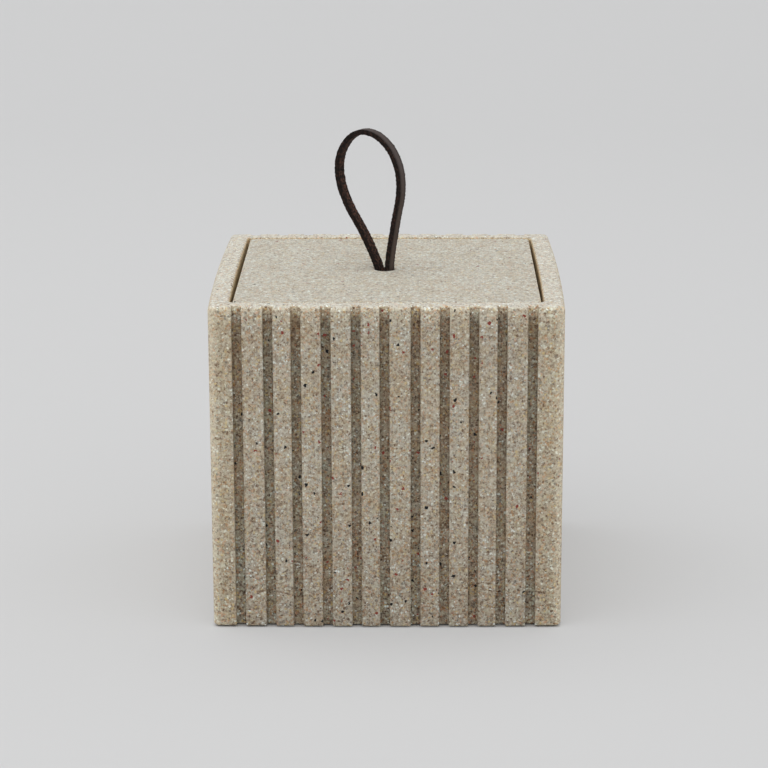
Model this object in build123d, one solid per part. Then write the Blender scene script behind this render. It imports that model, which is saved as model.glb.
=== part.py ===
from build123d import *

import os
from math import cos, radians, sin, tan

# A square storage jar cast in sand and resin, ribbed on its front and back. Its lid lies inside the rim
# and is lifted by a loop of leather lace that is knotted under the lid.
# The jar stands on its foot pads at z = 0, centred on the Z axis, and its front faces -Y.
# Lengths are in millimetres and angles in degrees.

# Jar body
body_width = 100.0
body_depth = 100.0
body_height = 94.6
wall_bow = 0.8  # how far each wall swells out at its middle
corner_radius = 2.0
top_edge_radius = 1.5
bottom_edge_radius = 0.8
rim_wall = 5.7
rim_inner_radius = 0.9
opening_bow = 0.4  # how far each side of the lid's opening swells out
opening_corner_radius = 2.0
ledge_width = 2.65
floor_thickness = 8.0
cavity_corner_radius = 5.0
cavity_floor_radius = 3.0

# Ribs on the front and the back, as cast: their widths are a little uneven
groove_width = 2.75
groove_depth = 2.0
groove_lip_radius = 1.0
rib_edge_radius = 0.4
rib_width_shares = (1.14, 1.03, 0.88, 0.98, 0.98, 0.91, 1.03, 0.94, 0.95, 0.89, 1.00, 1.29)

# Lid, which lies a little to the right in its opening
lid_thickness = 8.0
lid_gap = 0.75
lid_drop = 0.3  # from the rim down to the top of the lid
lid_set_over = 0.1
lid_corner_radius = 1.8
lid_edge_radius = 0.4
strap_hole_diameter = 6.0
strap_hole_edge_radius = 0.4
strap_hole_offset = 1.0  # how far left of the lid's middle the hole is

# Leather strap
strap_width = 3.6
strap_thickness = 1.35
strap_edge_radius = 0.35
leg_spacing = 3.0  # between the middles of the two legs in the hole
loop_turn = 30.0  # the loop's right side is turned this far towards the front
loop_width = 21.2
loop_height = 41.1
mouth_bend_radius = 4.0
neck_height = 6.0  # the stretch above the lid that bends when the loop is pushed over
bend_share = 0.45  # how much of the shorter run beside a corner its arc may take
left_mouth_share = 0.03
right_mouth_share = 0.057
loop_corner_shares = (
    (-0.712, 0.640),
    (-0.712, 0.842),
    (-0.429, 1.000),
    (-0.090, 1.000),
    (0.117, 0.908),
    (0.288, 0.735),
    (0.288, 0.569),
)

# Knot and tails under the lid
knot_diameter = 8.4
knot_height = 6.5
knot_edge_radius = 2.8
knot_gap = 0.25
tail_length = 9.0
tail_splay = 14.0

# Foot pads
pad_diameter = 10.0
pad_thickness = 1.2
pad_proud = 0.4
pad_edge_radius = 0.15
pad_pocket_gap = 0.2
pad_inset = 14.0  # from the middle of a pad to the walls beside it

overrun = 2.0  # how far a cutting tool passes the face that it opens

# Heights and places that follow from these
body_base = pad_proud
rim_top = body_base + body_height
lid_top = rim_top - lid_drop
lid_base = lid_top - lid_thickness
opening_width = body_width - 2 * rim_wall
opening_depth = body_depth - 2 * rim_wall
hole_x = lid_set_over - strap_hole_offset
loop_plane = Plane(
    origin=(hole_x, 0, lid_top),
    x_dir=(cos(radians(loop_turn)), -sin(radians(loop_turn)), 0),
    z_dir=(-sin(radians(loop_turn)), -cos(radians(loop_turn)), 0),
)


def bowed_outline(inset, bow, radius):
    """The jar's plan, drawn in by an inset all round, with swollen sides and rounded corners."""
    half_width = body_width / 2 - inset
    half_depth = body_depth / 2 - inset
    front_left = (-half_width, -half_depth)
    front_right = (half_width, -half_depth)
    back_right = (half_width, half_depth)
    back_left = (-half_width, half_depth)
    sides = [
        ThreePointArc(front_left, (0, -half_depth - bow), front_right),
        ThreePointArc(front_right, (half_width + bow, 0), back_right),
        ThreePointArc(back_right, (0, half_depth + bow), back_left),
        ThreePointArc(back_left, (-half_width - bow, 0), front_left),
    ]
    plan = make_face(sides)
    return fillet(plan.vertices(), radius)


def rounded_block(inset, radius, low_radius, high_radius):
    """A block as tall as the body on the bowed plan, with its bottom and top edges rounded."""
    block = extrude(Pos(0, 0, body_base) * bowed_outline(inset, wall_bow, radius), body_height)
    block = fillet(block.edges().group_by(Axis.Z)[0], low_radius)
    return fillet(block.edges().group_by(Axis.Z)[-1], high_radius)


def groove_middles():
    """The places of the grooves across the front, from the shares of the ribs between them."""
    groove_count = len(rib_width_shares) - 1
    rib_room = body_width - groove_count * groove_width
    middles = []
    edge = -body_width / 2
    for share in rib_width_shares[:-1]:
        edge += rib_room * share / sum(rib_width_shares)
        middles.append(edge + groove_width / 2)
        edge += groove_width
    return middles


def rib_slabs():
    """The ribs, as upright slabs that run through from the front to the back, with rounded edges."""
    block = rounded_block(0, corner_radius, bottom_edge_radius, top_edge_radius)
    groove_length = body_depth + 2 * (wall_bow + overrun)
    groove_height = body_height + 2 * overrun
    groove = Pos(0, 0, body_base + body_height / 2) * Box(groove_width, groove_length, groove_height)
    block -= [Pos(middle, 0, 0) * groove for middle in groove_middles()]
    return fillet(block.faces().filter_by(Axis.X).edges(), rib_edge_radius)


def pad_places():
    """Each foot pad's name and the place of its middle."""
    reach_x = body_width / 2 - pad_inset
    reach_y = body_depth / 2 - pad_inset
    return {
        "foot_pad_front_left": (-reach_x, -reach_y),
        "foot_pad_front_right": (reach_x, -reach_y),
        "foot_pad_back_left": (-reach_x, reach_y),
        "foot_pad_back_right": (reach_x, reach_y),
    }


def lid_opening():
    """The room for the lid inside the rim, down to the ledge that carries it."""
    plan = Pos(0, 0, lid_base) * bowed_outline(rim_wall, opening_bow, opening_corner_radius)
    return extrude(plan, rim_top + overrun - lid_base)


def cavity():
    """The room inside the jar, from the floor up through the ledge."""
    width = opening_width - 2 * ledge_width
    depth = opening_depth - 2 * ledge_width
    base = body_base + floor_thickness
    plan = Pos(0, 0, base) * RectangleRounded(width, depth, cavity_corner_radius)
    room = extrude(plan, lid_base + overrun - base)
    return fillet(room.edges().group_by(Axis.Z)[0], cavity_floor_radius)


def pad_pockets():
    """The shallow round pockets in the base that hold the foot pads."""
    mouth = Pos(0, 0, body_base - overrun) * Circle(pad_diameter / 2 + pad_pocket_gap)
    pocket = extrude(mouth, overrun + pad_thickness - pad_proud)
    return [Pos(x, y, 0) * pocket for x, y in pad_places().values()]


def opens_inward(edge):
    """Whether an edge of the rim's top lies on the lid's side of the wall."""
    middle = edge.center()
    wall_middle = rim_wall / 2
    inside_x = abs(middle.X) < body_width / 2 + wall_bow - wall_middle
    inside_y = abs(middle.Y) < body_depth / 2 + wall_bow - wall_middle
    return inside_x and inside_y


def make_jar_body():
    body = rounded_block(groove_depth, corner_radius, rib_edge_radius, groove_lip_radius)
    for rib in rib_slabs().solids():
        body += rib
    body -= [lid_opening(), cavity(), *pad_pockets()]
    rim_edges = body.edges().filter_by_position(Axis.Z, rim_top, rim_top)
    return fillet(rim_edges.filter_by(opens_inward), rim_inner_radius)


def make_lid():
    lid_width = opening_width - 2 * lid_gap
    lid_depth = opening_depth - 2 * lid_gap
    plan = Pos(lid_set_over, 0, lid_base) * RectangleRounded(lid_width, lid_depth, lid_corner_radius)
    panel = extrude(plan, lid_thickness)
    levels = panel.edges().group_by(Axis.Z)
    panel = fillet(levels[0] + levels[-1], lid_edge_radius)
    hole = Pos(hole_x, 0, lid_base - overrun) * Circle(strap_hole_diameter / 2)
    panel -= extrude(hole, lid_thickness + 2 * overrun)
    mouths = panel.faces().sort_by(Axis.Z)
    hole_edges = mouths[0].inner_wires().edges() + mouths[-1].inner_wires().edges()
    return fillet(hole_edges, strap_hole_edge_radius)


def strap_route():
    """The strap's middle line: up the left leg from the knot, round the loop and down the right leg."""
    knot_middle = -(lid_thickness + knot_gap + knot_height / 2)
    half_spacing = leg_spacing / 2
    points = [(-half_spacing, knot_middle), (-half_spacing, left_mouth_share * loop_height)]
    points += [(across * loop_width, up * loop_height) for across, up in loop_corner_shares]
    points += [(half_spacing, right_mouth_share * loop_height), (half_spacing, knot_middle)]
    corners = [loop_plane.from_local_coords(point) for point in points]

    radii = []
    for before, corner, after in zip(corners, corners[1:], corners[2:]):
        half_turn = radians((corner - before).get_angle(after - corner) / 2)
        shorter_run = min((corner - before).length, (after - corner).length)
        radii.append(bend_share * shorter_run / tan(half_turn))
    radii[0] = mouth_bend_radius
    radii[-1] = mouth_bend_radius
    return FilletPolyline(*corners, radius=radii)


def make_strap():
    """The strap as three pieces: the loop, the neck that bends, and the legs in the hole with the knot."""
    route = strap_route()
    section_plane = Plane(origin=route @ 0, x_dir=loop_plane.x_dir, z_dir=route % 0)
    section = section_plane * RectangleRounded(strap_thickness, strap_width, strap_edge_radius)
    lace = sweep(section, path=route)
    print("strap length", round(route.length, 2))
    print("strap volume over its section", round(lace.volume / section.area, 2))

    neck_top = Plane.XY.offset(lid_top + neck_height)
    hole_mouth = Plane.XY.offset(lid_top)
    loop = split(lace, bisect_by=neck_top, keep=Keep.TOP)
    legs = split(lace, bisect_by=neck_top, keep=Keep.BOTTOM)
    neck = split(legs, bisect_by=hole_mouth, keep=Keep.TOP)
    root = split(legs, bisect_by=hole_mouth, keep=Keep.BOTTOM)

    knot_top = lid_base - knot_gap
    knot = Pos(hole_x, 0, knot_top - knot_height / 2) * Cylinder(knot_diameter / 2, knot_height)
    knot = fillet(knot.edges().filter_by(GeomType.CIRCLE), knot_edge_radius)
    root += knot
    tail_plane = Plane(
        origin=(hole_x, 0, knot_top - knot_height / 2), x_dir=loop_plane.x_dir, z_dir=(0, 0, -1)
    )
    tail_run = tail_length + knot_height / 2
    for side in (-1, 1):
        tail = extrude(RectangleRounded(strap_thickness, strap_width, strap_edge_radius), tail_run)
        root += tail_plane * Pos(side * leg_spacing / 2, 0, 0) * Rot(0, side * tail_splay, 0) * tail
    return {"pull_loop": loop, "strap_neck": neck, "strap_knot": root}


def make_foot_pad(x, y):
    pad = extrude(Pos(x, y, 0) * Circle(pad_diameter / 2), pad_thickness)
    return fillet(pad.edges().group_by(Axis.Z)[0], pad_edge_radius)


def main():
    pieces = {"jar_body": make_jar_body(), "lid": make_lid()}
    pieces.update(make_strap())
    for name, (x, y) in pad_places().items():
        pieces[name] = make_foot_pad(x, y)

    os.makedirs("parts", exist_ok=True)
    for name, piece in pieces.items():
        export_step(piece, f"parts/{name}.step")


main()
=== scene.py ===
import math

import bmesh
import bpy
from mathutils import Matrix, Vector, noise
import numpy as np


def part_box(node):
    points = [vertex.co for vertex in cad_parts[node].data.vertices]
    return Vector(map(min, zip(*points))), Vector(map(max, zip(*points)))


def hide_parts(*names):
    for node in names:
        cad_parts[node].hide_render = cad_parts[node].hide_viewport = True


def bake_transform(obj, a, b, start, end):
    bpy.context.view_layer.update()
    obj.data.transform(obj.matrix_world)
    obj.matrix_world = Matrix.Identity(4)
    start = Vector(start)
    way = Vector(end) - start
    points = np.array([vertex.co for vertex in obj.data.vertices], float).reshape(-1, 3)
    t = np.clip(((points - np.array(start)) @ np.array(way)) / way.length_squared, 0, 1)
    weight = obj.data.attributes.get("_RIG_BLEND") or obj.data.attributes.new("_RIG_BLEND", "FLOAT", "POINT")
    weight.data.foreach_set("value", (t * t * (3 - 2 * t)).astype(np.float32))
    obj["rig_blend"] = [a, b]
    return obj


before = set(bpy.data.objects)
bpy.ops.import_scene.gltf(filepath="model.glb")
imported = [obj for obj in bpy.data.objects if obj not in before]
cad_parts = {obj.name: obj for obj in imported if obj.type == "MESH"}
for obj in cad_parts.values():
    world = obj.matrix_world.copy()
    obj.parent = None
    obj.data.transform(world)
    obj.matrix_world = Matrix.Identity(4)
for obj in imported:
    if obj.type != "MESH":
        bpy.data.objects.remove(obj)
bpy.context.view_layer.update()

# Looks of a square storage jar cast in sand and resin, with an inset lid and a leather pull loop.
# Everything is in metres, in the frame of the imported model: z is up and the front faces -Y.
# The materials measure places in millimetres.

MM = 0.001

_, body_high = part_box("jar_body")
lid_low, lid_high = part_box("lid")

# The strap, on the route of its plain solid
STRAP_WIDTH = 3.3 * MM
STRAP_THICKNESS = 1.55 * MM
SECTION_POWER = 0.2  # the smaller, the sharper the corners of the lace's section
LACE_FACETS = 36
LEG_SPACING = 3.0 * MM
LOOP_TURN = math.radians(30)
HOLE = Vector((-0.9 * MM, 0, lid_high.z))
LOOP_ALONG = Vector((math.cos(LOOP_TURN), -math.sin(LOOP_TURN), 0))
LOOP_NORMAL = Vector((-math.sin(LOOP_TURN), -math.cos(LOOP_TURN), 0))
UP = Vector((0, 0, 1))
BEND_START = 0.4 * MM  # above the lid
BEND_END = 5.6 * MM
FRAY = 0.20 * MM
FLESH_LIFT = 0.06 * MM

# The knot under the lid and its tails
KNOT_TOP = lid_low.z - 0.3 * MM
KNOT_RADIUS = 3.5 * MM
KNOT_TURNS = 2.3
KNOT_STEPS = 18
KNOT_TUCK = 1.5 * MM
KNOT_SPREAD = 0.6 * MM
KNOT_DROP = 2.3 * MM
KNOT_TILT = 0.35 * MM
KNOT_MIDDLE = 3.5  # millimetres below the lid
TAIL_REACH = 11.8  # millimetres below the knot's middle

# The jar's places, in millimetres
RIM = body_high.z / MM
FRONT = body_high.y / MM
LEDGE = lid_low.z / MM
WALL_SWELL = 0.8 / (body_high.x / MM) ** 2
GROOVE_REACH = 5.0  # all grooves lie within this of the front and the back
LAST_GROOVE = 44.0  # and within this of the middle
RIM_INSIDE = 45.6  # past this lies the outside of the rim
FOOT_TOP = 50.0
COARSE_FOOT_TOP = 45.0
CORNER_STARTS = 46.8
CORNER_ENDS = 49.4

# The photograph's camera
LENS = 123.091
SENSOR = 36.0
CAMERA_PLACE = (7.46 * MM, -763.46 * MM, 264.03 * MM)
CAMERA_PITCH = math.radians(15.017)
CAMERA_YAW = math.radians(-0.653)
CAMERA_ROLL = math.radians(-0.181)

# The studio
FLOOR_REACH = 2.0
BACKDROP_HEIGHT = 3.0
BACKDROP_CURVE = 1.2
BACKDROP_STEPS = 24
LAMP_SIZE = 1.6
LAMP_POWER = 5.0
LAMP_PLACE = (-0.6, -0.2, 1.3)
SURROUND_STRENGTH = 0.88


def tint(red, green, blue):
    """A colour for a socket."""
    return (red, green, blue, 1.0)


# Sand and resin. A pair holds a tint and how strongly it is laid over the casting.
JAR_BINDER = tint(0.490, 0.448, 0.370)
LID_BINDER = tint(0.612, 0.592, 0.520)
BROAD_CLOUD = (tint(0.46, 0.34, 0.21), 0.28)
SMALL_CLOUD = (tint(0.42, 0.31, 0.17), 0.36)
# Painted light: the rounded top and bottom edges paler and creamier, for light glowing through the resin at
# its rims
PAINTED_EDGE_GLOW = (tint(0.76, 0.69, 0.54), 0.32)
# Painted shade: the ribs darker towards the bottom, where the floor shades them
PAINTED_FOOT_SHADE = (tint(0.26, 0.21, 0.165), 0.31)
# Painted light: warmer and paler towards the jar's left and right corners and over its side faces
PAINTED_SIDE_WARM_LIGHT = (tint(0.62, 0.49, 0.28), 0.20)
# Painted light: the ribs creamier and paler near the top, for light glowing through the resin
PAINTED_HEAD_GLOW = (tint(0.76, 0.69, 0.54), 0.40)
CORNER_GLOW = (tint(0.82, 0.74, 0.58), 0.48)
# Painted shade: the groove floors darkened to brown and olive, more so further down from the rim
GROOVE_SHADE_BROWN = tint(0.19, 0.10, 0.03)
GROOVE_SHADE_OLIVE = tint(0.14, 0.11, 0.06)
# Painted light: a warm glow where the grooves open at the top
PAINTED_GROOVE_HEAD_GLOW = (tint(0.85, 0.65, 0.40), 0.22)
# Painted light: the rim's top face and its rounded front edge paler and greyer, lit from above
PAINTED_RIM_TOP_LIGHT = (tint(0.695, 0.665, 0.585), 0.92)
# Painted light: the rim's inner walls above the lid a lighter, warm tan
PAINTED_INNER_WALL_LIGHT = (tint(0.70, 0.53, 0.31), 0.75)

# How much each kind of grain lightens, darkens or tints the binder, from its share of the grains on
GRAIN_GROUND = tint(1.08, 1.08, 1.08)
GRAIN_PIT = (tint(0.35, 0.24, 0.17), 0.68)
GRAIN_THREAD = (tint(1.40, 1.50, 1.55), 0.45)
GRAIN_STRENGTH = 0.85
COARSE_GRAIN_STRENGTH = 0.80
SAND_GRAINS = (
    (0.00, tint(0.34, 0.24, 0.18)),
    (0.09, tint(0.46, 0.48, 0.50)),
    (0.17, tint(0.86, 0.62, 0.42)),
    (0.30, tint(1.10, 0.84, 0.72)),
    (0.38, tint(0.92, 0.92, 0.88)),
    (0.60, tint(1.04, 1.12, 1.09)),
    (0.80, tint(1.20, 1.10, 0.76)),
    (0.87, tint(1.34, 1.52, 1.64)),
    (0.96, tint(1.55, 1.80, 2.05)),
)
STRAY_SPECKS = (
    (0.00, tint(0.24, 0.045, 0.03)),
    (0.80, tint(0.003, 0.003, 0.004)),
)

# Clouds, grains and specks in each millimetre
BROAD_CLOUDS = 0.15
SMALL_CLOUDS = 0.42
GROOVE_SHADE_CLOUDS = 0.07
FINE_GRAINS = 1.1
THREADS = 0.85
STIRS = 1.3
GRAINS = 1.5
COARSE_GRAINS = 1.05
SPECKS = 0.5

# Leather
CUT_EDGE = tint(0.010, 0.007, 0.006)
CUT_RED = (tint(0.075, 0.032, 0.022), 0.75)
FLESH = tint(0.034, 0.018, 0.013)
FLESH_RED = (tint(0.175, 0.075, 0.050), 0.85)
FLESH_BLACK = (tint(0.005, 0.004, 0.004), 0.9)
GRAIN_SIDE = tint(0.022, 0.013, 0.010)
# Painted sheen: a light band along the grain side, greyer high on the loop and browner lower down
PAINTED_SHEEN = tint(0.100, 0.075, 0.069)
PAINTED_LOW_SHEEN = tint(0.080, 0.053, 0.043)
SHEEN_FADES = (85, 99)  # millimetres along the lace, down the loop's right side
CORNER_GLINT = (tint(0.17, 0.16, 0.155), 0.7)

# Rubber and paper
PAD_RUBBER = tint(0.30, 0.29, 0.27)
PAD_GRIT = (tint(0.42, 0.41, 0.38), 0.7)
PAPER = tint(0.62, 0.62, 0.62)
PAPER_GLOW = tint(0.735, 0.742, 0.752)
PAPER_GLOW_SHARE = 0.35
JAR_FOOTPRINT = (49, 50.8)  # millimetres from the middle, where the paper's glow fades in


class Shade:
    """A socket of a material. Sums and products with it become Math nodes."""

    def __init__(self, tree, socket):
        self.tree = tree
        self.socket = socket

    def node(self, kind, settings, inputs, output=0):
        """Adds a node, sets it up, and fills its sockets with numbers, colours or other sockets."""
        made = self.tree.nodes.new(kind)
        for name, setting in settings.items():
            if name == "stops":
                self.fill_ramp(made.color_ramp, setting)
            else:
                setattr(made, name, setting)
        for name, given in inputs.items():
            if isinstance(given, Shade):
                self.tree.links.new(given.socket, made.inputs[name])
            else:
                made.inputs[name].default_value = given
        return Shade(self.tree, made.outputs[output])

    def fill_ramp(self, ramp, stops):
        """Sets up a colour ramp in steps, from pairs of a position and a colour."""
        ramp.interpolation = "CONSTANT"
        while len(ramp.elements) < len(stops):
            ramp.elements.new(1.0)
        for element, (position, colour) in zip(ramp.elements, stops):
            element.position = position
            element.color = colour

    def math(self, operation, first, second=0.0):
        return self.node("ShaderNodeMath", {"operation": operation}, {0: first, 1: second})

    def __add__(self, other):
        return self.math("ADD", self, other)

    __radd__ = __add__

    def __sub__(self, other):
        return self.math("SUBTRACT", self, other)

    def __rsub__(self, other):
        return self.math("SUBTRACT", other, self)

    def __mul__(self, other):
        return self.math("MULTIPLY", self, other)

    __rmul__ = __mul__

    def __gt__(self, other):
        return self.math("GREATER_THAN", self, other)

    def __lt__(self, other):
        return self.math("LESS_THAN", self, other)

    def __abs__(self):
        return self.math("ABSOLUTE", self)

    def larger(self, other):
        return self.math("MAXIMUM", self, other)

    def smaller(self, other):
        return self.math("MINIMUM", self, other)

    def ramp(self, low, high):
        """0 below low, 1 above high and a smooth rise between; low may be the larger."""
        return self.node(
            "ShaderNodeMapRange",
            {"interpolation_type": "SMOOTHSTEP"},
            {"Value": self, "From Min": low, "From Max": high},
        )

    def parts(self):
        """The three parts of a vector or colour."""
        first = self.node("ShaderNodeSeparateXYZ", {}, {0: self})
        return [Shade(self.tree, socket) for socket in first.socket.node.outputs]

    def scaled(self, size):
        return self.node("ShaderNodeVectorMath", {"operation": "SCALE"}, {0: self, "Scale": size})

    def over(self, colour, amount):
        """This colour with another laid over it by an amount from 0 to 1."""
        return self.node(
            "ShaderNodeMix", {"data_type": "RGBA"}, {0: amount, 6: self, 7: colour}, output=2
        )

    def veiled(self, veil, where):
        """This colour with a tint laid over it, from a pair of the tint and its strength."""
        colour, strength = veil
        return self.over(colour, where * strength)

    def times(self, other):
        """This colour filtered by another."""
        return self.node("ShaderNodeVectorMath", {"operation": "MULTIPLY"}, {0: self, 1: other})

    def noise(self, per_mm, detail=2.0, roughness=0.5):
        return self.node(
            "ShaderNodeTexNoise",
            {},
            {"Vector": self, "Scale": per_mm, "Detail": detail, "Roughness": roughness},
        )

    def stirred(self, reach):
        """These coordinates pushed about by a noise, so that grains come out irregular."""
        push = self.node(
            "ShaderNodeTexNoise", {}, {"Vector": self, "Scale": STIRS, "Detail": 1.0}, "Color"
        )
        return self.node(
            "ShaderNodeVectorMath",
            {"operation": "MULTIPLY_ADD"},
            {0: push, 1: (reach, reach, reach), 2: self},
        )

    def palette(self, stops):
        return self.node("ShaderNodeValToRGB", {"stops": stops}, {"Fac": self})

    def cells(self, per_mm):
        """Distance to the nearest grain's middle, and three lots drawn for that grain."""
        distance = self.node("ShaderNodeTexVoronoi", {}, {"Vector": self, "Scale": per_mm})
        lots = Shade(self.tree, distance.socket.node.outputs["Color"]).parts()
        return distance, lots


class Finish:
    """A material with a plain shader, the coordinates of the piece in millimetres and its normals."""

    def __init__(self, name):
        self.material = bpy.data.materials.new(name)
        self.material.use_nodes = True
        self.tree = self.material.node_tree
        self.shader = self.tree.nodes["Principled BSDF"]
        self.start = Shade(self.tree, None)
        self.place = self.start.node("ShaderNodeTexCoord", {}, {}, "Object").scaled(1 / MM)
        self.normal = self.start.node("ShaderNodeTexCoord", {}, {}, "Normal")

    def plain(self, colour):
        """One colour all over, to lay others on."""
        flat = self.start.node("ShaderNodeRGB", {}, {})
        flat.socket.default_value = colour
        return flat

    def attribute(self, name):
        return self.start.node("ShaderNodeAttribute", {"attribute_name": name}, {}, "Fac")

    def feed(self, socket, shade):
        """Joins what varies to a socket of the shader."""
        self.tree.links.new(shade.socket, self.shader.inputs[socket])

    def hold(self, socket, setting):
        """Sets a socket of the shader that doesn't vary."""
        self.shader.inputs[socket].default_value = setting

    def bump(self, height, depth, strength):
        raised = self.start.node(
            "ShaderNodeBump", {}, {"Strength": strength, "Distance": depth, "Height": height}
        )
        self.feed("Normal", raised)


def jar_shades(finish, tone, contrast):
    """The jar's tone and contrast: painted shade in the deep grooves and at the foot, painted light on the
    rim, glowing corners.
    """
    x, y, z = finish.place.parts()
    nz = finish.normal.parts()[2]
    upright = abs(nz) < 0.6
    depth = FRONT - x * x * WALL_SWELL - abs(y)
    groove = depth.ramp(0.5, 1.7) * upright * (abs(y) > FRONT - GROOVE_REACH) * (abs(x) < LAST_GROOVE)
    rib = 1 - groove
    corner = abs(x).smaller(abs(y)).ramp(CORNER_STARTS, CORNER_ENDS)
    top = nz.ramp(0.5, 1.0) * z.ramp(RIM - 3.0, RIM - 1.2)
    inner = (abs(x).larger(abs(y)) < RIM_INSIDE) * upright * (z > LEDGE)

    # Painted shade: the ribs darken towards the floor
    tone = tone.veiled(PAINTED_FOOT_SHADE, z.ramp(FOOT_TOP, 0) * rib)
    # Painted warm light towards the left and right corners and over the side faces
    tone = tone.veiled(PAINTED_SIDE_WARM_LIGHT, abs(x).ramp(40, 46) * rib)
    # Painted glow on the ribs near the top
    tone = tone.veiled(PAINTED_HEAD_GLOW, z.ramp(RIM - 7, RIM - 1) * rib)
    tone = tone.veiled(CORNER_GLOW, corner)
    # Painted shade in the grooves, in clouds of brown and olive
    groove_shade = finish.plain(GROOVE_SHADE_BROWN)
    groove_shade = groove_shade.over(GROOVE_SHADE_OLIVE, finish.place.noise(GROOVE_SHADE_CLOUDS).ramp(0.42, 0.60))
    tone = tone.over(groove_shade, groove * z.ramp(RIM - 1, RIM - 5.5) * (0.36 + z.ramp(0, RIM) * 0.18))
    # Painted warm light at the heads of the grooves
    tone = tone.veiled(PAINTED_GROOVE_HEAD_GLOW, groove * z.ramp(RIM - 3.6, RIM - 1.2))
    # Painted light on the rim's top face
    tone = tone.veiled(PAINTED_RIM_TOP_LIGHT, top)
    # Painted warm light on the rim's inner walls
    tone = tone.veiled(PAINTED_INNER_WALL_LIGHT, inner)
    contrast = contrast + groove * 0.55 - top.larger(corner) * 0.3 + z.ramp(COARSE_FOOT_TOP, 0) * 0.25
    return tone, contrast


def sand_resin(name, binder, cloudiness, contrast, speck_strength, has_grooves):
    """Cast sand and resin: fine grains of many tints, with stray rust and black specks."""
    finish = Finish(name)
    place = finish.place
    nx, ny, nz = finish.normal.parts()

    tone = finish.plain(binder)
    tone = tone.veiled(BROAD_CLOUD, place.noise(BROAD_CLOUDS).ramp(0.44, 0.66) * cloudiness)
    tone = tone.veiled(SMALL_CLOUD, place.noise(SMALL_CLOUDS).ramp(0.44, 0.64) * cloudiness)
    # Painted light: a creamy glow laid on the rounded top and bottom edges
    edge = abs(ny * nz).larger(abs(nx * nz))
    tone = tone.veiled(PAINTED_EDGE_GLOW, edge.ramp(0.08, 0.45))
    if has_grooves:
        tone, contrast = jar_shades(finish, tone, contrast)

    fine = place.noise(FINE_GRAINS, 3.0, 0.6).ramp(0.34, 0.66)
    thread = abs(place.noise(THREADS, 1.0) - 0.5).ramp(0.06, 0.0)
    stirred = place.stirred(0.9)
    distance, lots = stirred.cells(GRAINS)
    core = distance.ramp(0.62, 0.30)
    coarse_distance, coarse_lots = stirred.cells(COARSE_GRAINS)
    coarse = coarse_distance.ramp(0.52, 0.30) * (coarse_lots[1] > 0.62)
    grain = finish.plain(GRAIN_GROUND)
    grain = grain.veiled(GRAIN_PIT, 1 - fine)
    grain = grain.over(lots[0].palette(SAND_GRAINS), core * GRAIN_STRENGTH)
    grain = grain.over(coarse_lots[0].palette(SAND_GRAINS), coarse * COARSE_GRAIN_STRENGTH)
    grain = grain.veiled(GRAIN_THREAD, thread)
    grain = grain.node("ShaderNodeGamma", {}, {"Color": grain, "Gamma": contrast})
    ground = tone.times(grain)

    speck_distance, speck_lots = place.stirred(1.1).cells(SPECKS)
    speck_size = 0.07 + speck_lots[1] * speck_lots[1] * 0.19
    speck = (speck_size - speck_distance).ramp(0.0, 0.03) * (speck_lots[0] > 0.58)
    ground = ground.over(speck_lots[0].palette(STRAY_SPECKS), speck * speck_strength)

    finish.feed("Base Color", ground)
    finish.feed("Roughness", 0.55 + fine * 0.16)
    finish.bump(fine * 0.5 + core * 0.5, 0.09 * MM, 0.7)
    finish.hold("Specular IOR Level", 0.35)
    return finish.material


def strap_leather():
    """Dark brown lace: smooth grain outside with a painted sheen, fibrous flesh inside, dyed and rough on
    the cut edges.
    """
    finish = Finish("strap_leather")
    side = finish.attribute("lace_side")
    across = finish.attribute("lace_across")
    along = finish.attribute("lace_along")
    strands = finish.start.node(
        "ShaderNodeCombineXYZ", {}, {0: along * 0.9, 1: across * 3.0, 2: side * 2.0}
    )
    fibre = strands.noise(1.0, 4.0, 0.7)
    pores = finish.place.noise(3.0, 3.0, 0.6)
    stain = finish.place.noise(1.3, 3.0, 0.65)
    red = stain.ramp(0.48, 0.64) * fibre.ramp(0.40, 0.60)
    black = stain.ramp(0.50, 0.38)

    grain = side.ramp(0.90, 0.99)
    flesh = side.ramp(-0.90, -0.99)
    ground = finish.plain(CUT_EDGE).veiled(CUT_RED, red)
    inside = finish.plain(FLESH).veiled(FLESH_RED, red).veiled(FLESH_BLACK, black)
    # Painted sheen on the grain side, fading from grey to brown down the loop
    sheen_colour = finish.plain(PAINTED_SHEEN).over(PAINTED_LOW_SHEEN, along.ramp(*SHEEN_FADES))
    sheen = across.ramp(-1.0, -0.2) * across.ramp(1.1, 0.1)
    outside = finish.plain(GRAIN_SIDE).over(sheen_colour, sheen * (0.55 + pores.ramp(0.4, 0.7) * 0.45))
    ground = ground.over(inside, flesh)
    ground = ground.over(outside, grain)
    front_corner = side.ramp(0.5, 0.9) * across.ramp(-0.85, -0.98)
    ground = ground.veiled(CORNER_GLINT, pores.ramp(0.58, 0.68) * front_corner)

    finish.feed("Base Color", ground)
    finish.feed("Roughness", 0.85 - grain * 0.37 + pores * 0.1)
    finish.bump(fibre * (1 - grain) + pores * grain * 0.35, 0.10 * MM, 0.8)
    finish.hold("Specular IOR Level", 0.2)
    return finish.material


def pad_rubber():
    """Matt soft rubber with a fine moulded grain."""
    finish = Finish("pad_rubber")
    grit = finish.place.noise(3.0, 2.0, 0.6)
    finish.feed("Base Color", finish.plain(PAD_RUBBER).veiled(PAD_GRIT, grit.ramp(0.35, 0.7)))
    finish.feed("Roughness", 0.72 + grit * 0.2)
    finish.bump(grit, 0.05 * MM, 0.6)
    return finish.material


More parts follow.
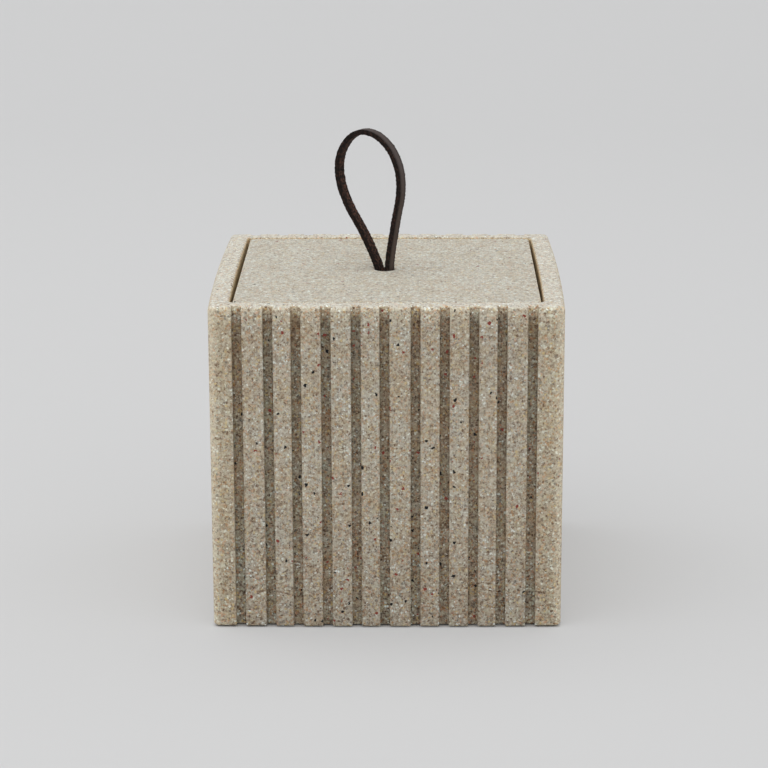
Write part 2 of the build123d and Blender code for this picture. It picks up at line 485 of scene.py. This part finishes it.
def studio_paper():
    """Pale paper that the camera sees a little brighter than it is lit, except under the jar."""
    finish = Finish("studio_paper")
    finish.hold("Base Color", PAPER)
    finish.hold("Roughness", 0.9)
    seen = finish.start.node("ShaderNodeLightPath", {}, {}, "Is Camera Ray")
    glow = finish.start.node("ShaderNodeEmission", {}, {"Color": PAPER_GLOW})
    paper = Shade(finish.tree, finish.shader.outputs[0])
    x, y, _ = finish.place.parts()
    open_floor = abs(x).larger(abs(y)).ramp(*JAR_FOOTPRINT)
    mixed = finish.start.node(
        "ShaderNodeMixShader", {}, {0: seen * open_floor * PAPER_GLOW_SHARE, 1: paper, 2: glow}
    )
    finish.tree.links.new(mixed.socket, finish.tree.nodes["Material Output"].inputs["Surface"])
    return finish.material


def finished(mesh, name, material):
    """A bmesh as an object of the scene, with smooth shading."""
    for face in mesh.faces:
        face.smooth = True
    data = bpy.data.meshes.new(name)
    mesh.to_mesh(data)
    mesh.free()
    data.materials.append(material)
    piece = bpy.data.objects.new(name, data)
    bpy.context.scene.collection.objects.link(piece)
    return piece


def smooth_line(points):
    """Points along one smooth curve that these points steer."""
    curve = bpy.data.curves.new("lace_line", "CURVE")
    curve.dimensions = "3D"
    curve.resolution_u = 20
    spline = curve.splines.new("NURBS")
    spline.points.add(len(points) - 1)
    for steer, point in zip(spline.points, points):
        steer.co = (*point, 1.0)
    spline.order_u = 3
    spline.use_endpoint_u = True
    holder = bpy.data.objects.new("lace_line", curve)
    line = bpy.data.meshes.new_from_object(holder)
    places = [vertex.co.copy() for vertex in line.vertices]
    bpy.data.objects.remove(holder)
    bpy.data.meshes.remove(line)
    bpy.data.curves.remove(curve)
    return places


def squared(ratio):
    """A sine or cosine swollen towards 1, which makes a circle a rounded rectangle."""
    return math.copysign(abs(ratio) ** SECTION_POWER, ratio)


def lace_run(mesh, route, width_direction):
    """A stretch of lace along a route, its width held to one direction, closed at both ends."""
    side_layer = mesh.verts.layers.float["lace_side"]
    across_layer = mesh.verts.layers.float["lace_across"]
    along_layer = mesh.verts.layers.float["lace_along"]
    places = smooth_line(route)
    last = len(places) - 1
    steps = []
    run = 0.0
    for step, place in enumerate(places):
        before = places[max(step - 1, 0)]
        after = places[min(step + 1, last)]
        run += (place - before).length
        outward = width_direction.cross(after - before).normalized()
        steps.append((place, outward, outward.cross(after - before).normalized(), run))

    skin = bmesh.ops.create_grid(mesh, x_segments=last, y_segments=LACE_FACETS, size=1.0)["verts"]
    for vertex in skin:
        place, outward, widthways, run = steps[round((vertex.co.x + 1) / 2 * last)]
        angle = (vertex.co.y + 1) * math.pi
        across = squared(math.cos(angle))
        side = squared(math.sin(angle))
        vertex[across_layer] = across
        vertex[side_layer] = side
        vertex[along_layer] = run / MM
        vertex.co = place + widthways * (across * STRAP_WIDTH / 2) + outward * (side * STRAP_THICKNESS / 2)
    bmesh.ops.remove_doubles(mesh, verts=skin, dist=0.001 * MM)
    ends = [edge for edge in mesh.edges if edge.is_boundary]
    bmesh.ops.holes_fill(mesh, edges=ends, sides=0)


def in_loop(point):
    """A place in the loop's own plane, in millimetres from the middle of the hole's mouth."""
    return HOLE + LOOP_ALONG * (point[0] * MM) + UP * (point[1] * MM)


def loop_route():
    """The lace from one tail up through the knot and the hole, round the loop and back to the other."""
    lid_base = -(lid_high.z - lid_low.z) / MM
    knot = lid_base - KNOT_MIDDLE
    tail = knot - TAIL_REACH
    half = LEG_SPACING / 2 / MM
    points = [
        (-4.4, tail), (-3.3, tail + 4.5), (-1.9, tail + 9.5), (-half, knot),
        (-half, lid_base), (-half, -3.0), (-half - 0.1, -0.6), (-3.1, 3.0),
        (-7.4, 11.0), (-11.5, 16.6), (-14.6, 22.7), (-15.8, 28.6), (-15.0, 34.0), (-11.7, 38.8),
        (-7.3, 41.0), (-2.2, 40.1), (2.0, 36.8), (4.7, 32.1), (5.7, 27.2), (5.5, 22.0),
        (4.2, 16.4), (3.1, 10.6), (2.0, 4.6), (half + 0.05, 0.2), (half, -3.0), (half, lid_base),
        (half, knot), (2.0, tail + 9.0), (3.0, tail + 4.8), (4.5, tail + 0.4),
    ]
    return [in_loop(point) for point in points]


def knot_wrap():
    """The turns of lace round both legs under the lid: a tilted coil that tucks in at both ends."""
    turns = []
    for step in range(KNOT_STEPS + 1):
        done = step / KNOT_STEPS
        angle = -2 * math.pi * KNOT_TURNS * done
        radius = KNOT_RADIUS - KNOT_TUCK * (2 * done - 1) ** 4 + KNOT_SPREAD * done
        height = KNOT_TOP - STRAP_WIDTH / 2 - KNOT_DROP * done + KNOT_TILT * math.sin(angle)
        turns.append(Vector((
            HOLE.x + radius * math.cos(angle), HOLE.y + radius * math.sin(angle), height,
        )))
    return turns


def roughen(mesh):
    """Frays the cut edges of the lace and lifts its flesh side a little."""
    side = mesh.verts.layers.float["lace_side"]
    across = mesh.verts.layers.float["lace_across"]
    mesh.normal_update()
    for vertex in mesh.verts:
        cut = max(0.0, abs(vertex[across]) - 0.8) / 0.2
        flesh = max(0.0, -vertex[side])
        fray = noise.noise(vertex.co / (0.42 * MM)) + 0.6 * noise.noise(vertex.co / (0.19 * MM))
        lift = noise.noise(vertex.co / (0.9 * MM))
        vertex.co += vertex.normal * (FRAY * cut * fray + FLESH_LIFT * flesh * lift)


def leather_strap(material):
    """The whole lace: the loop, its legs in the hole, the knot under the lid and the two tails."""
    mesh = bmesh.new()
    for name in ("lace_side", "lace_across", "lace_along"):
        mesh.verts.layers.float.new(name)
    lace_run(mesh, loop_route(), LOOP_NORMAL)
    lace_run(mesh, knot_wrap(), UP)
    bmesh.ops.recalc_face_normals(mesh, faces=mesh.faces[:])
    roughen(mesh)

    strap = finished(mesh, "leather_strap", material)
    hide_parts("pull_loop", "strap_neck", "strap_knot")
    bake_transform(strap, "strap", "loop", start=HOLE + UP * BEND_START, end=HOLE + UP * BEND_END)


def studio_floor(material):
    """A pale floor that rises in a wide curve into the backdrop."""
    mesh = bmesh.new()
    bmesh.ops.create_grid(mesh, x_segments=1, y_segments=1, size=FLOOR_REACH)
    back = [edge for edge in mesh.edges if all(vertex.co.y > 0 for vertex in edge.verts)]
    raised = bmesh.ops.extrude_edge_only(mesh, edges=back)
    wall = [item for item in raised["geom"] if isinstance(item, bmesh.types.BMVert)]
    bmesh.ops.translate(mesh, vec=(0, 0, BACKDROP_HEIGHT), verts=wall)
    bmesh.ops.bevel(
        mesh, geom=back, offset=BACKDROP_CURVE, affect="EDGES", segments=BACKDROP_STEPS, profile=0.5,
        material=-1,
    )
    bmesh.ops.recalc_face_normals(mesh, faces=mesh.faces[:])
    finished(mesh, "studio_floor", material)


def studio_light():
    """One wide soft lamp overhead and an even pale surround."""
    lamp = bpy.data.lights.new("overhead_softbox", "AREA")
    lamp.shape = "SQUARE"
    lamp.size = LAMP_SIZE
    lamp.energy = LAMP_POWER
    holder = bpy.data.objects.new("overhead_softbox", lamp)
    holder.location = LAMP_PLACE
    bpy.context.scene.collection.objects.link(holder)

    world = bpy.data.worlds.new("studio_surround")
    world.use_nodes = True
    surround = world.node_tree.nodes["Background"]
    surround.inputs["Color"].default_value = tint(1.0, 1.0, 1.0)
    surround.inputs["Strength"].default_value = SURROUND_STRENGTH
    bpy.context.scene.world = world


def photo_camera():
    """The camera where the photograph was taken from."""
    lens = bpy.data.cameras.new("photo_camera")
    lens.sensor_width = SENSOR
    lens.lens = LENS
    lens.clip_start = 0.05
    camera = bpy.data.objects.new("photo_camera", lens)
    pitched = Matrix.Rotation(math.pi / 2 - CAMERA_PITCH, 4, "X") @ Matrix.Rotation(CAMERA_ROLL, 4, "Z")
    turned = Matrix.Rotation(-CAMERA_YAW, 4, "Z") @ pitched
    camera.matrix_world = Matrix.Translation(CAMERA_PLACE) @ turned
    bpy.context.scene.collection.objects.link(camera)
    bpy.context.scene.camera = camera


def dress(node, material):
    """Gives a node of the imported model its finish."""
    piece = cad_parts[node]
    piece.data.materials.clear()
    piece.data.materials.append(material)


dress("jar_body", sand_resin(
    "jar_sand_resin", JAR_BINDER, cloudiness=1.0, contrast=1.1, speck_strength=1.0, has_grooves=True
))
dress("lid", sand_resin(
    "lid_sand_resin", LID_BINDER, cloudiness=0.60, contrast=0.80, speck_strength=0.9, has_grooves=False
))
pads = pad_rubber()
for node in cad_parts:
    if node.startswith("foot_pad"):
        dress(node, pads)
leather_strap(strap_leather())

studio_floor(studio_paper())
studio_light()
photo_camera()
bpy.context.scene.view_settings.view_transform = "Standard"
